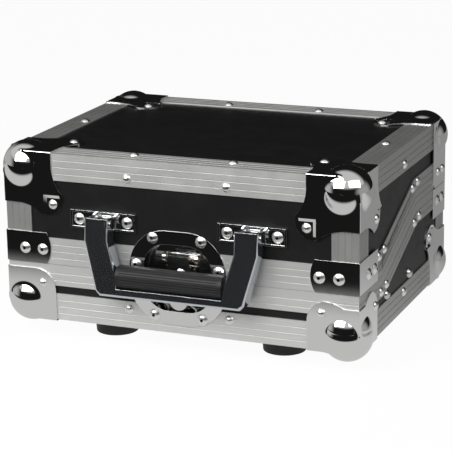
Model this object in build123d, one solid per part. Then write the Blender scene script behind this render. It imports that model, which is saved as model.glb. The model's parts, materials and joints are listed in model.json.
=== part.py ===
from build123d import *
import os
from math import atan2, cos, degrees, radians, sin, tan

# A lighting flight case in millimetres: a base that is low in front and high at the back, and a
# lid with the opposite wedge, hinged along the back. Aluminium edge profiles, chromed ball corners,
# a recessed turn latch, a drop handle on the lid, four rubber feet and a foam lining.
#
# Everything is first laid out from the case itself: x from the middle, y from the front face
# towards the back, z up from the underside of the case. Each piece is moved once, when it is
# written, so that the origin lies on the floor under the middle of the whole object.

# Driving dimensions of the case
case_width = 406.0
case_depth = 312.0
case_height = 188.0
panel_thickness = 7.0
sheet = 1.5                   # wall of every aluminium profile
flange = 30.0                 # leg of the edge angle
front_parting = 63.0          # height of the lid's lower edge at the front
back_parting = 111.0          # and at the back
slope_start = 80.0            # where the side's slope begins, from the front
slope_end = 200.0
parting_gap = 0.4             # open line between lid and base
fit = 0.3                     # seating clearance of soft and round pieces
running = 0.05                # radial clearance of pins that turn

# Edge profiles
lid_rim_height = 30.0
base_rim_height = 24.0
rim_cap = 5.0
rim_hem = 12.0                # height of the rim's inner wall
valley_width = 3.6
valley_depth = 3.0
tongue_width = 2.2
tongue_height = 2.2
rim_overlap = 0.5             # how far the tongue's root reaches into the cap
line_width = 1.0              # fine grooves along every profile
line_depth = 0.35
angle_line_pitch = 7.5
angle_end_gap = 1.0           # between an angle's end and the ball's edge
lid_rim_lines = (7.5, 15.0, 22.5)
base_rim_lines = (10.0, 18.0)

# Ball corners
corner_plate = 1.5
ball_radius = 27.5
ball_inset = 19.0
ball_wall = 1.2
flap_leg = 57.0
flap_shoulder = 17.0
lobe_centre = 50.0
lobe_radius = 19.5
lobe_step = 45.0              # where the flap steps down to the panel
lobe_rivet = 57.0
lobe_tip_angle = -15.0        # where the lobe runs into its leg, seen from its middle
lobe_bow = (3.6, 1.0)         # how far the curve between leg and lobe bellies out
round_flap_radius = 24.0
round_flap_rivet = 41.0
short_leg = 47.6              # upright leg of the lower front right corner
short_lobe = 22.0
short_shoulder = 16.0
short_tops = (54.0, 57.0)     # height of its lobes, in front and at the side
long_leg_width = 48.0
long_leg_radius = 10.0
long_leg_rivet_rise = 17.0

# Corner braces on the rims
brace_plate = 1.2
brace_front_leg = 53.0
brace_side_leg = 59.0
brace_back_leg = 46.0
brace_height = 35.0
brace_bulge = 5.0
brace_rivet_rise = 16.5
brace_lift = 0.4

# Rivets
dome_radius = 5.3
dome_height = 3.1
blind_radius = 6.4
blind_height = 2.8
blind_bore = 1.6
shank_radius = 2.0
shank_gap = 0.05
top_rivet_x = 57.0
bottom_rivet_x = 58.5
edge_rivet_inset = 21.5
mitre_rivet_offset = 9.5
lid_mitre_rivet_rise = 24.5
base_mitre_rivet_rise = 17.0
leg_rivet_insets = (12.0, 30.0)     # on the rear legs and braces, from the back edge
brace_side_rivets = (28.5, 48.5)   # on the front braces' side legs
round_flap_side_rivet = (50.0, 38.0)
side_bolt_radius = 5.8
side_bolt_height = 5.0
side_bolt_rise = 36.7
side_bolt_y = (95.0, 178.0)

# Feet
foot_drop = 24.0              # from the case's underside to the floor
foot_top_radius = 25.3
foot_bottom_radius = 23.5
foot_x = 100.0
foot_inset = 56.0
foot_bore = 2.6
foot_recess_radius = 6.5
foot_web = 6.0
foot_screw_radius = 2.45
foot_screw_head = 5.5
foot_screw_head_height = 3.0

# Turn latch
dish_width = 112.0
dish_height = 104.5
dish_corner = 44.0
recess_width = 79.0
recess_height = 74.0
recess_corner = 28.0
dish_sheet = 1.2
dish_depth = 14.0
dish_drop = 1.2               # the dish's middle lies this far below the parting line
dish_rivet_inner = (28.0, 43.0)
dish_rivet_outer = (47.8, 11.8)
rotor_drop = 1.0              # the rotor's axis below the parting line
hub_radius = 7.2
hub_depth = 3.2
hub_cap_inset = 2.2
hub_cap_height = 1.2
spindle_radius = 4.0
spindle_head_radius = 6.0
spindle_head = 1.2
wing_reach = 36.0
wing_lobe_radius = 10.5
wing_fork = 11.6
wing_pin_radius = 1.0
wing_shoulder = 3.0           # straight part of the fork below the hub
wing_slot_width = 4.2
wing_slot_depth = 1.0
bridge_front = 9.5
bridge_sheet = 2.0
bridge_half_width = 17.0
bridge_above = 10.0           # above and below the rotor's axis
bridge_below = 22.0
bridge_leg = 3.0
ear_gap = 1.0                 # between the hook's side and the bridge's ears
hook_front = 5.0
hook_sheet = 2.2
hook_half_width = 12.0
hook_below = 8.0
hook_bore = 5.5
hook_reach = 11.6             # how far the claw reaches in from the front face
hook_play = 0.6               # over the keeper pin, when it is hooked
hook_release = 12.0           # degrees it stands off when the latch is free
trunnion_radius = 1.2
trunnion_root = 1.0
ear_radius = 2.0
ear_thickness = 3.0
keeper_rise = 19.0            # the keeper pin above the parting line
keeper_depth = 10.0
keeper_radius = 2.4
keeper_lug_radius = 4.5
keeper_lug_inner = 16.6
keeper_lug_thickness = 4.0
keeper_pin_half = 21.6

# Drop handle
handle_x = 86.0
handle_z = 118.0              # pivot height
handle_out = 11.0             # pivot in front of the case
handle_tilt = 6.0             # degrees the hanging handle leans out
arm_width = 27.0
arm_straight = 18.0
arm_top = 6.2                 # above the pivot
arm_back = 8.0
arm_front = 9.0
bail_wall = 2.0
bail_drop = 77.0              # pivot to the underside of the bar
bail_bottom_half = 85.5
bail_corner = 5.0
grip_half = 61.0
grip_drop = 55.0
grip_radius = 12.5
grip_ribs = 28
grip_rib_depth = 0.5
grip_rib_margin = 4.0
rod_radius = 4.0
pivot_radius = 3.0
pivot_head_radius = 4.2
pivot_head = 1.5
bracket_width = 76.5
bracket_height = 20.0
bracket_sheet = 1.8
bracket_rim = 1.2
bracket_rim_width = 2.0
bracket_rivet = 28.3
bracket_ear_x = 8.0
bracket_ear = 2.5
bracket_ear_radius = 4.3

# Hinges
hinge_x = 95.0
hinge_half = 30.0
hinge_leaf = 1.8
hinge_leaf_height = 22.0
hinge_out = 4.2
hinge_barrel = 4.0
hinge_pin_radius = 2.0
hinge_knuckle = 15.0          # half length of the lid's middle knuckle
hinge_rivet_x = 20.0
hinge_rivet_rise = 15.5

# Foam lining
foam = 8.0
floor_foam = 10.0
foam_below_rim = 1.0
latch_pocket_margin = 2.0

# Worked out from the driving dimensions
half_width = case_width / 2
inner_skin = sheet + panel_thickness
rim_inner = inner_skin + sheet
long_flap_length = case_height - back_parting - parting_gap / 2
slope = atan2(back_parting - front_parting, slope_end - slope_start)
shank_depth = inner_skin - fit
rotor_z = front_parting - rotor_drop
dish_z = front_parting - dish_drop
keeper_z = front_parting + keeper_rise
hook_pivot_y = hook_front + hook_sheet / 2
grip_lean = grip_drop * sin(radians(handle_tilt))
handle_reach = handle_out + grip_lean + grip_radius
ball_proud = ball_radius - ball_inset
front_shift = (handle_reach - ball_proud - case_depth) / 2
placement = Pos(0, front_shift, foot_drop)


# Small builders

def block(x, y, z):
    """A box from pairs of limits along the three axes."""
    size = Box(x[1] - x[0], y[1] - y[0], z[1] - z[0])
    return Pos((x[0] + x[1]) / 2, (y[0] + y[1]) / 2, (z[0] + z[1]) / 2) * size


def prism(plane, points, length):
    """A closed outline drawn on a plane and pushed out along its normal."""
    return extrude(plane * make_face(Polyline(*points, close=True)), length)


def along_x(points_yz, x0, x1):
    return prism(Plane.YZ.offset(x0), points_yz, x1 - x0)


def along_y(points_xz, y0, y1):
    return prism(Plane.XZ.offset(-y1), points_xz, y1 - y0)


def along_z(points_xy, z0, z1):
    return prism(Plane.XY.offset(z0), points_xy, z1 - z0)


def rod_x(radius, x0, x1, y, z):
    return Pos((x0 + x1) / 2, y, z) * Rot(0, 90, 0) * Cylinder(radius, x1 - x0)


def rod_y(radius, y0, y1, x, z):
    return Pos(x, (y0 + y1) / 2, z) * Rot(90, 0, 0) * Cylinder(radius, y1 - y0)


def flip_x(shape):
    return mirror(shape, about=Plane.YZ)


def flip_y(shape):
    return mirror(shape, about=Plane.XZ.offset(-case_depth / 2))


def flip_z(shape):
    return mirror(shape, about=Plane.XY.offset(case_height / 2))


def solids_of(*shapes):
    """All the solids in some shapes, in one list."""
    found = []
    for shape in shapes:
        found.extend(shape.solids())
    return found


def boxes_meet(a, b):
    a, b = a.bounding_box(), b.bounding_box()
    return (
        a.min.X < b.max.X and b.min.X < a.max.X
        and a.min.Y < b.max.Y and b.min.Y < a.max.Y
        and a.min.Z < b.max.Z and b.min.Z < a.max.Z
    )


def cut(shape, tools):
    """The shape less those tools that come near it."""
    near = [tool for tool in tools if boxes_meet(shape, tool)]
    return shape - near if near else shape


written = []


def write(name, *shapes):
    """Write one node as a group of its solids, placed in the object's frame."""
    group = Compound(children=[placement * solid for solid in solids_of(*shapes)])
    group.label = name
    export_step(group, f"parts/{name}.step")
    written.append(name)


# The parting line on the side of the case

def parting_line(rise):
    """The line between base and lid, from front to back, moved square to itself by rise."""
    lean = rise * tan(slope / 2)
    return [
        (0.0, front_parting + rise),
        (slope_start - lean, front_parting + rise),
        (slope_end - lean, back_parting + rise),
        (case_depth, back_parting + rise),
    ]


def strip(index, low, high):
    """One straight stretch of a band that follows the parting line, with mitred ends."""
    lower, upper = parting_line(low), parting_line(high)
    return [lower[index], lower[index + 1], upper[index + 1], upper[index]]


def clip_line(line, y0, y1):
    """The parting line's points between two depths."""
    return [(y0, line[0][1]), line[1], line[2], (y1, line[3][1])]


# Rivets and bolts. Each is (face, a, b, level): a and b are places on that face and level is how
# far its seat stands out from the case.

def face_plane(face, a, b, level):
    origin = {
        "front": (a, -level, b),
        "back": (a, case_depth + level, b),
        "right": (half_width + level, a, b),
        "left": (-half_width - level, a, b),
        "top": (a, b, case_height + level),
        "bottom": (a, b, -level),
    }[face]
    normal = {
        "front": (0, -1, 0),
        "back": (0, 1, 0),
        "right": (1, 0, 0),
        "left": (-1, 0, 0),
        "top": (0, 0, 1),
        "bottom": (0, 0, -1),
    }[face]
    return Plane(origin=origin, z_dir=normal)


def dome(radius, height):
    sphere_radius = (radius**2 + height**2) / (2 * height)
    ball = Pos(0, 0, height - sphere_radius) * Sphere(sphere_radius)
    seat = Cylinder(radius * 2, height * 2, align=(Align.CENTER, Align.CENTER, Align.MIN))
    return ball & seat


def shank(radius, length):
    return Cylinder(radius, length, align=(Align.CENTER, Align.CENTER, Align.MAX))


def dome_rivet(level):
    return dome(dome_radius, dome_height) + shank(shank_radius, level + shank_depth)


def blind_rivet(level):
    """A hollow rivet, open down the middle of its head."""
    body = dome(blind_radius, blind_height) + shank(shank_radius, level + shank_depth)
    return body - Pos(0, 0, blind_height / 2) * Cylinder(blind_bore, blind_height * 2)


def side_bolt(level):
    head = dome(side_bolt_radius, side_bolt_height)
    return head + shank(shank_radius, level + shank_depth)


def set_fasteners(places, maker):
    return [face_plane(*place) * maker(place[3]) for place in places]


def fastener_holes(places):
    """Cutters for the holes that the shanks pass through."""
    holes = []
    for face, a, b, level in places:
        reach = level + inner_skin
        tool = shank(shank_radius + shank_gap, reach)
        holes.append(face_plane(face, a, b, level) * tool)
    return holes


def both_sides(places):
    """Places on the front, back, top or bottom, repeated at minus a."""
    return places + [(face, -a, b, level) for face, a, b, level in places]


def left_and_right(places):
    return [(face, a, b, level) for a, b, level in places for face in ("right", "left")]


def mitre_rivets(rise):
    """Two rivets beside each of the two mitres of a rim, at this rise from the parting line."""
    bends = parting_line(rise)[1:3]
    along = (mitre_rivet_offset * cos(slope), mitre_rivet_offset * sin(slope))
    low, high = bends
    return [
        (low[0] - mitre_rivet_offset, low[1], 0.0),
        (low[0] + along[0], low[1] + along[1], 0.0),
        (high[0] - along[0], high[1] - along[1], 0.0),
        (high[0] + mitre_rivet_offset, high[1], 0.0),
    ]


mid_depth = case_depth / 2
lid_brace_z = front_parting + brace_rivet_rise
base_brace_z = back_parting - brace_rivet_rise
rear_leg_z = back_parting + long_leg_rivet_rise

lid_dome_places = (
    both_sides([
        ("front", top_rivet_x, case_height - edge_rivet_inset, 0.0),
        ("back", top_rivet_x, case_height - edge_rivet_inset, 0.0),
        ("top", top_rivet_x, edge_rivet_inset, 0.0),
        ("top", top_rivet_x, case_depth - edge_rivet_inset, 0.0),
        ("top", half_width - edge_rivet_inset, mid_depth, 0.0),
        ("front", half_width - lobe_rivet, case_height - lobe_rivet, 0.0),
        ("top", half_width - lobe_rivet, lobe_rivet, 0.0),
        ("top", half_width - lobe_rivet, case_depth - lobe_rivet, 0.0),
        ("back", half_width - leg_rivet_insets[0], rear_leg_z, corner_plate),
        ("back", half_width - leg_rivet_insets[1], rear_leg_z, corner_plate),
        ("back", hinge_x - hinge_rivet_x, back_parting + hinge_rivet_rise, hinge_leaf),
        ("back", hinge_x + hinge_rivet_x, back_parting + hinge_rivet_rise, hinge_leaf),
    ])
    + left_and_right([
        (mid_depth, case_height - edge_rivet_inset, 0.0),
        (lobe_rivet, case_height - lobe_rivet, 0.0),
        (case_depth - leg_rivet_insets[0], rear_leg_z, corner_plate),
        (case_depth - leg_rivet_insets[1], rear_leg_z, corner_plate),
    ])
    + left_and_right(mitre_rivets(lid_mitre_rivet_rise))
)

base_dome_places = (
    both_sides([
        ("front", bottom_rivet_x, edge_rivet_inset, 0.0),
        ("back", bottom_rivet_x, edge_rivet_inset, 0.0),
        ("bottom", top_rivet_x, edge_rivet_inset, 0.0),
        ("bottom", top_rivet_x, case_depth - edge_rivet_inset, 0.0),
        ("bottom", half_width - edge_rivet_inset, mid_depth, 0.0),
        ("front", half_width - round_flap_rivet, round_flap_rivet, corner_plate),
        ("back", half_width - lobe_rivet, lobe_rivet, 0.0),
        ("bottom", half_width - lobe_rivet, lobe_rivet, 0.0),
        ("bottom", half_width - lobe_rivet, case_depth - lobe_rivet, 0.0),
        ("back", hinge_x - hinge_rivet_x, back_parting - hinge_rivet_rise, hinge_leaf),
        ("back", hinge_x + hinge_rivet_x, back_parting - hinge_rivet_rise, hinge_leaf),
    ])
    + left_and_right([
        (mid_depth, edge_rivet_inset, 0.0),
        (*round_flap_side_rivet, corner_plate),
        (case_depth - lobe_rivet, lobe_rivet, 0.0),
    ])
    + left_and_right(mitre_rivets(-base_mitre_rivet_rise))
)


def dish_rivets(side):
    """The four hollow rivets of the lid's or the base's half of the latch dish."""
    places = []
    for x, rise in (dish_rivet_inner, dish_rivet_outer):
        places.append(("front", x, dish_z + side * rise, dish_sheet))
    return both_sides(places)


lid_blind_places = (
    dish_rivets(1)
    + both_sides([
        ("front", handle_x - bracket_rivet, handle_z, bracket_sheet - sheet),
        ("front", handle_x + bracket_rivet, handle_z, bracket_sheet - sheet),
        ("front", half_width - edge_rivet_inset, lid_brace_z, brace_plate),
        ("front", half_width - 2 * edge_rivet_inset, lid_brace_z, brace_plate),
    ])
    + left_and_right([
        (brace_side_rivets[0], lid_brace_z, brace_plate),
        (brace_side_rivets[1], lid_brace_z, brace_plate),
    ])
)

base_blind_places = (
    dish_rivets(-1)
    + both_sides([
        ("back", half_width - edge_rivet_inset, base_brace_z, brace_plate),
        ("back", half_width - 2 * edge_rivet_inset, base_brace_z, brace_plate),
    ])
    + left_and_right([
        (case_depth - leg_rivet_insets[0], base_brace_z, brace_plate),
        (case_depth - leg_rivet_insets[1], base_brace_z, brace_plate),
    ])
)

side_bolt_places = left_and_right([(y, side_bolt_rise, -sheet) for y in side_bolt_y])

lid_holes = fastener_holes(lid_dome_places + lid_blind_places)
base_holes = fastener_holes(base_dome_places + base_blind_places + side_bolt_places)


# Latch dish outlines

def rounded_slab(width, height, radius, y0, y1):
    """A rounded rectangle around the dish's middle, between two depths."""
    outline = RectangleRounded(width, height, radius)
    return extrude(Plane.XZ.offset(-y1) * Pos(0, dish_z) * outline, y1 - y0)


cup_width = recess_width + 2 * dish_sheet
cup_height = recess_height + 2 * dish_sheet
cup_corner = recess_corner + dish_sheet
dish_hole = rounded_slab(
    cup_width + 2 * fit, cup_height + 2 * fit, cup_corner + fit, -sheet, rim_inner + sheet
)
above_parting = block(
    (-case_width, case_width),
    (-case_depth, 2 * case_depth),
    (front_parting + parting_gap / 2, 2 * case_height),
)
below_parting = block(
    (-case_width, case_width),
    (-case_depth, 2 * case_depth),
    (-case_height, front_parting - parting_gap / 2),
)


# Room for the ball corners, cut out of the panels

def corner_room():
    """What the panels lose at a corner so that they fit inside the hollow ball."""
    room = block((0, ball_inset), (0, ball_inset), (0, ball_inset))
    ball = Pos(ball_inset, ball_inset, ball_inset) * Sphere(ball_radius - ball_wall - fit)
    return Pos(-half_width, 0, 0) * (room - ball)


def at_four_corners(piece):
    """A piece made for the front left corner, repeated at all four corners of its level."""
    back = flip_y(piece)
    return [piece, flip_x(piece), back, flip_x(back)]


base_corner_rooms = at_four_corners(corner_room())
lid_corner_rooms = [flip_z(room) for room in base_corner_rooms]


# Panels

def side_panel(points, side):
    """A side panel of the given outline, on the right or the left."""
    inner = half_width - inner_skin
    panel = along_x(points, inner, half_width - sheet)
    return panel if side == "right" else flip_x(panel)


def end_panel(z0, z1):
    """A front panel over the whole width, between two heights."""
    reach = half_width - sheet
    return block((-reach, reach), (sheet, inner_skin), (z0, z1))


def flat_panel():
    reach = half_width - sheet
    return block((-reach, reach), (sheet, case_depth - sheet), (sheet, inner_skin))


cap_inset = rim_cap + parting_gap / 2
lid_wall_top = case_height - inner_skin


def make_panels():
    base_edge = clip_line(parting_line(-cap_inset), inner_skin, case_depth - inner_skin)
    floor_line = [(case_depth - inner_skin, inner_skin), (inner_skin, inner_skin)]
    lid_edge = clip_line(parting_line(cap_inset), inner_skin, case_depth - inner_skin)
    roof_line = [(case_depth - inner_skin, lid_wall_top), (inner_skin, lid_wall_top)]
    base_tools = base_corner_rooms + base_holes + [dish_hole] + foot_holes()
    lid_tools = lid_corner_rooms + lid_holes + [dish_hole]

    write("base_floor_panel", cut(flat_panel(), base_tools))
    write("base_front_panel", cut(end_panel(inner_skin, front_parting - cap_inset), base_tools))
    base_back = flip_y(end_panel(inner_skin, back_parting - cap_inset))
    write("base_back_panel", cut(base_back, base_tools))
    for side in ("left", "right"):
        write(f"base_{side}_panel", cut(side_panel(base_edge + floor_line, side), base_tools))

    write("lid_top_panel", cut(flip_z(flat_panel()), lid_tools))
    write("lid_front_panel", cut(end_panel(front_parting + cap_inset, lid_wall_top), lid_tools))
    lid_back = flip_y(end_panel(back_parting + cap_inset, lid_wall_top))
    write("lid_back_panel", cut(lid_back, lid_tools))
    for side in ("left", "right"):
        write(f"lid_{side}_panel", cut(side_panel(lid_edge + roof_line, side), lid_tools))


# Edge angles

def angle_section():
    """An L with its outer corner at the origin and fine grooves in both outer faces."""
    half_line = line_width / 2
    lines = [angle_line_pitch * n for n in (1, 2, 3)]
    lower = [(0.0, 0.0)]
    for at in lines:
        lower += [
            (at - half_line, 0.0),
            (at - half_line, line_depth),
            (at + half_line, line_depth),
            (at + half_line, 0.0),
        ]
    lower.append((flange, 0.0))
    back = [(flange, sheet), (sheet, sheet), (sheet, flange)]
    upright = [(b, a) for a, b in reversed(lower)]
    return lower + back + upright[:-1]


def make_angles():
    section = angle_section()
    reach = half_width - ball_inset - angle_end_gap
    bottom_front = along_x(section, -reach, reach)
    side_section = [(-half_width + a, b) for a, b in section]
    bottom_left = along_y(side_section, flange, case_depth - flange)
    sides = [bottom_left, flip_x(bottom_left)]
    front_cut = base_holes + [dish_hole]

    bottom_back = cut(flip_y(bottom_front), base_holes)
    write("base_cross_angles", cut(bottom_front, front_cut), bottom_back)
    write("base_side_angles", *[cut(piece, base_holes) for piece in sides])
    top_pair = (flip_z(bottom_front), flip_z(flip_y(bottom_front)))
    write("lid_cross_angles", *[cut(piece, lid_holes) for piece in top_pair])
    write("lid_side_angles", *[cut(flip_z(piece), lid_holes) for piece in sides])


def corner_post(z0, z1):
    """An upright angle at the front left corner."""
    return along_z([(-half_width + a, b) for a, b in angle_section()], z0, z1)


def make_posts():
    rear_base = flip_y(corner_post(flange, back_parting - base_rim_height))
    write("base_rear_posts", *[cut(p, base_holes) for p in (rear_base, flip_x(rear_base))])
    top = case_height - flange
    front_lid = corner_post(front_parting + lid_rim_height, top)
    rear_lid = flip_y(corner_post(back_parting + lid_rim_height, top))
    left_posts = (front_lid, rear_lid)
    right_posts = tuple(flip_x(post) for post in left_posts)
    write("lid_posts", *[cut(post, lid_holes) for post in left_posts + right_posts])


# Rims: the profiles along the parting line. Levels are rises from the parting line, positive in
# the lid and negative in the base.

valley_middle = rim_inner / 2


def rim_levels(part):
    """Outer wall, cap, inner wall and grooves of the lid's or the base's rim."""
    sign = 1 if part == "lid" else -1
    height = lid_rim_height if part == "lid" else base_rim_height
    lines = lid_rim_lines if part == "lid" else base_rim_lines
    edge = sign * parting_gap / 2
    return sign, edge, sign * height, [sign * line for line in lines]


def ordered(a, b):
    return (a, b) if a < b else (b, a)


def rim_profile(part, band):
    """A rim's walls, cap, grooves and tongue or valley, from a maker of bands."""
    sign, edge, far, lines = rim_levels(part)
    rim = band(edge, far, sheet, 0)
    rim += band(edge, edge + sign * rim_cap, rim_inner, 0)
    rim += band(edge, edge + sign * rim_hem, rim_inner, inner_skin)
    for line in lines:
        rim -= band(line - line_width / 2, line + line_width / 2, line_depth, 0)
    half = tongue_width / 2 if part == "lid" else valley_width / 2
    inner, outer = valley_middle + half, valley_middle - half
    if part == "lid":
        return rim + band(edge - tongue_height, edge + rim_overlap, inner, outer)
    return rim - band(edge - valley_depth, edge + rim_overlap, inner, outer)


def side_rim_stretch(part, index):
    """One stretch of the right-hand rim."""

    def band(low, high, inner, outer):
        points = strip(index, *ordered(low, high))
        return along_x(points, half_width - inner, half_width - outer)

    return rim_profile(part, band)


def cross_rim(part, parting):
    """The front rim, or with the back's parting height the back one before it is flipped."""

    def band(low, high, inner, outer):
        z0, z1 = ordered(low, high)
        return block((-half_width, half_width), (outer, inner), (parting + z0, parting + z1))

    return rim_profile(part, band)


def mitre_zone():
    """The wedge of plan that belongs to the front rim, cut at 45 degrees at both ends."""
    deep = rim_inner + flange
    points = [
        (-half_width, 0.0),
        (half_width, 0.0),
        (half_width - deep, deep),
        (-half_width + deep, deep),
    ]
    return along_z(points, 0, case_height)


def make_rims():
    front_zone = mitre_zone()
    back_zone = flip_y(front_zone)
    for part, holes in (("base", base_holes), ("lid", lid_holes)):
        front = cross_rim(part, front_parting) & front_zone
        back = flip_y(cross_rim(part, back_parting) & front_zone)
        write(f"{part}_cross_rims", cut(front, holes + [dish_hole]), cut(back, holes))
        stretches = [side_rim_stretch(part, index) for index in range(3)]
        stretches[0] -= front_zone
        stretches[2] -= back_zone
        write(f"{part}_right_rim", *[cut(piece, holes) for piece in stretches])
        write(f"{part}_left_rim", *[cut(flip_x(piece), holes) for piece in stretches])


# Ball corners. Each is made in a frame with the case's sharp corner at the origin and the case in
# the positive octant.

def lobed_flap():
    """A flap with straight legs and a round lobe on its diagonal."""
    tip = radians(lobe_tip_angle)
    near = (lobe_centre + lobe_radius * cos(tip), lobe_centre + lobe_radius * sin(tip))
    bow = (flap_leg + lobe_bow[0], (flap_shoulder + near[1]) / 2 + lobe_bow[1])
    top = lobe_centre + lobe_radius * cos(radians(45))
    edges = [
        Line((0, 0), (flap_leg, 0)),
        Line((flap_leg, 0), (flap_leg, flap_shoulder)),
        ThreePointArc((flap_leg, flap_shoulder), bow, near),
        ThreePointArc(near, (top, top), near[::-1]),
        ThreePointArc(near[::-1], bow[::-1], (flap_shoulder, flap_leg)),
        Line((flap_shoulder, flap_leg), (0, flap_leg)),
        Line((0, flap_leg), (0, 0)),
    ]
    return make_face(edges)


def round_flap():
    """A square flap with one large rounded corner."""
    edges = [
        Line((0, 0), (flap_leg, 0)),
        Line((flap_leg, 0), (flap_leg, flap_leg - round_flap_radius)),
        RadiusArc(
            (flap_leg, flap_leg - round_flap_radius),
            (flap_leg - round_flap_radius, flap_leg),
            -round_flap_radius,
        ),
        Line((flap_leg - round_flap_radius, flap_leg), (0, flap_leg)),
        Line((0, flap_leg), (0, 0)),
    ]
    return make_face(edges)


def short_flap(top):
    """A flap with a short upright leg that swells into a rounded lobe."""
    side, rise = flap_leg - short_lobe, top - short_lobe
    sway = ((side + short_shoulder) / 2, (top + short_leg) / 2 + lobe_bow[1])
    edges = [
        Line((0, 0), (flap_leg, 0)),
        Line((flap_leg, 0), (flap_leg, rise)),
        RadiusArc((flap_leg, rise), (side, top), -short_lobe),
        ThreePointArc((side, top), sway, (short_shoulder, short_leg)),
        Line((short_shoulder, short_leg), (0, short_leg)),
        Line((0, short_leg), (0, 0)),
    ]
    return make_face(edges)


def long_flap():
    """A strip that runs the whole height of the lid's back."""
    length = long_flap_length
    edges = [
        Line((0, 0), (long_leg_width, 0)),
        Line((long_leg_width, 0), (long_leg_width, length - long_leg_radius)),
        RadiusArc(
            (long_leg_width, length - long_leg_radius),
            (long_leg_width - long_leg_radius, length),
            -long_leg_radius,
        ),
        Line((long_leg_width - long_leg_radius, length), (0, length)),
        Line((0, length), (0, 0)),
    ]
    return make_face(edges)


def flap_plates(plane, outline, stepped):
    """A flap on one face: an upper plate and, where it steps down, a lower one for the lobe."""
    plate = extrude(plane * outline, -corner_plate)
    if not stepped:
        return plate
    far = 2 * flap_leg
    edge = lobe_step + corner_plate
    keep = Pos(lobe_step, lobe_step) * Rectangle(far, far, align=Align.MIN)
    drop = Pos(edge, edge) * Rectangle(far, far, align=Align.MIN)
    upper = extrude(plane * (outline - drop), -corner_plate)
    lower = extrude(plane * (outline & keep), corner_plate)
    return upper + lower


def ball_corner(style):
    """A pressed steel ball corner with three flaps, for the bottom front left of the case."""
    if style == "short":
        front, side = short_flap(short_tops[0]), short_flap(short_tops[1])
    else:
        front = side = {"lobed": lobed_flap, "round": round_flap, "long": long_flap}[style]()
    stepped = style == "lobed"
    upright = Plane(origin=(0, 0, 0), x_dir=(1, 0, 0), z_dir=(0, -1, 0))
    sideways = Plane(origin=(0, 0, 0), x_dir=(0, 1, 0), z_dir=(1, 0, 0))
    plates = mirror(upright * flap_plates(Plane.XY, front, stepped), about=Plane.XZ)
    plates += flap_plates(sideways, side, stepped)
    plates += flap_plates(Plane.XY, lobed_flap(), True)
    plates += edge_beads(style)
    octant = (-ball_radius, ball_inset)
    plates -= block(octant, octant, octant)
    case_inside = block((0, case_width), (0, case_width), (0, case_width))
    case_inside -= block((0, ball_inset), (0, ball_inset), (0, ball_inset))
    centre = Pos(ball_inset, ball_inset, ball_inset)
    ball = centre * Sphere(ball_radius) - case_inside
    return plates + ball - centre * Sphere(ball_radius - ball_wall)


def edge_beads(style):
    """The strips that join two flaps round an edge, one plate thickness square."""
    upright = {"long": long_flap_length, "short": short_leg}.get(style, flap_leg)
    reach = long_leg_width if style == "long" else flap_leg
    t = corner_plate
    beads = block((-t, 0), (-t, 0), (-t, upright))
    beads += block((-t, reach), (-t, 0), (-t, 0))
    beads += block((-t, 0), (-t, reach), (-t, 0))
    return beads


def make_ball_corners():
    to_left = Pos(-half_width, 0, 0)
    low_front = (to_left * ball_corner("round"), to_left * ball_corner("short"))
    low_back = flip_y(to_left * ball_corner("lobed"))
    high_front = flip_z(to_left * ball_corner("lobed"))
    high_back = flip_z(flip_y(to_left * ball_corner("long")))
    kinds = (
        ("base_corner_front", low_front, base_holes),
        ("base_corner_back", (low_back, low_back), base_holes),
        ("lid_corner_front", (high_front, high_front), lid_holes),
        ("lid_corner_back", (high_back, high_back), lid_holes),
    )
    for name, (left, right), holes in kinds:
        write(f"{name}_left", cut(left, holes))
        write(f"{name}_right", cut(flip_x(right), holes))


# Corner braces

def brace(side_leg, z0, z1):
    """A bent plate round the front right corner, its front end bowed out."""
    t = brace_plate
    end = half_width - brace_front_leg
    middle = (z0 + z1) / 2
    edges = [
        Line((half_width + t, z0), (end + brace_bulge, z0)),
        ThreePointArc((end + brace_bulge, z0), (end, middle), (end + brace_bulge, z1)),
        Line((end + brace_bulge, z1), (half_width + t, z1)),
        Line((half_width + t, z1), (half_width + t, z0)),
    ]
    front = extrude(Plane.XZ * make_face(edges), t)
    side = block((half_width, half_width + t), (-t, side_leg), (z0, z1))
    return front + side


def make_braces():
    low = front_parting + parting_gap / 2 + brace_lift
    front = cut(brace(brace_side_leg, low, low + brace_height), lid_holes)
    write("lid_front_braces", front, cut(flip_x(front), lid_holes))
    high = back_parting - parting_gap / 2 - brace_lift
    back = cut(flip_y(brace(brace_back_leg, high - brace_height, high)), base_holes)
    write("base_rear_braces", back, cut(flip_x(back), base_holes))


# Feet

foot_places = [
    (sx * foot_x, y)
    for sx in (-1, 1)
    for y in (foot_inset, case_depth - foot_inset)
]


def foot_holes():
    """Screw holes through the floor panel."""
    tool = Cylinder(foot_screw_radius + running, 4 * inner_skin)
    return [Pos(x, y, 0) * tool for x, y in foot_places]


def make_feet():
    height = foot_drop + sheet
    up = (Align.CENTER, Align.CENTER, Align.MIN)
    cone = Pos(0, 0, -foot_drop) * Cone(foot_bottom_radius, foot_top_radius, height, align=up)
    recess_tall = height - foot_web
    recess = Pos(0, 0, -foot_drop) * Cylinder(foot_recess_radius, recess_tall, align=up)
    foot = cone - recess - Cylinder(foot_bore, 4 * foot_drop)
    head_z = -foot_drop + recess_tall
    head = Pos(0, 0, head_z - foot_screw_head_height)
    screw = head * Cylinder(foot_screw_head, foot_screw_head_height, align=up)
    screw_length = foot_screw_head_height + foot_web + panel_thickness - fit
    screw += head * Cylinder(foot_screw_radius, screw_length, align=up)
    write("rubber_feet", *[Pos(x, y, 0) * foot for x, y in foot_places])
    write("foot_screws", *[Pos(x, y, 0) * screw for x, y in foot_places])


# Turn latch

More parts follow.
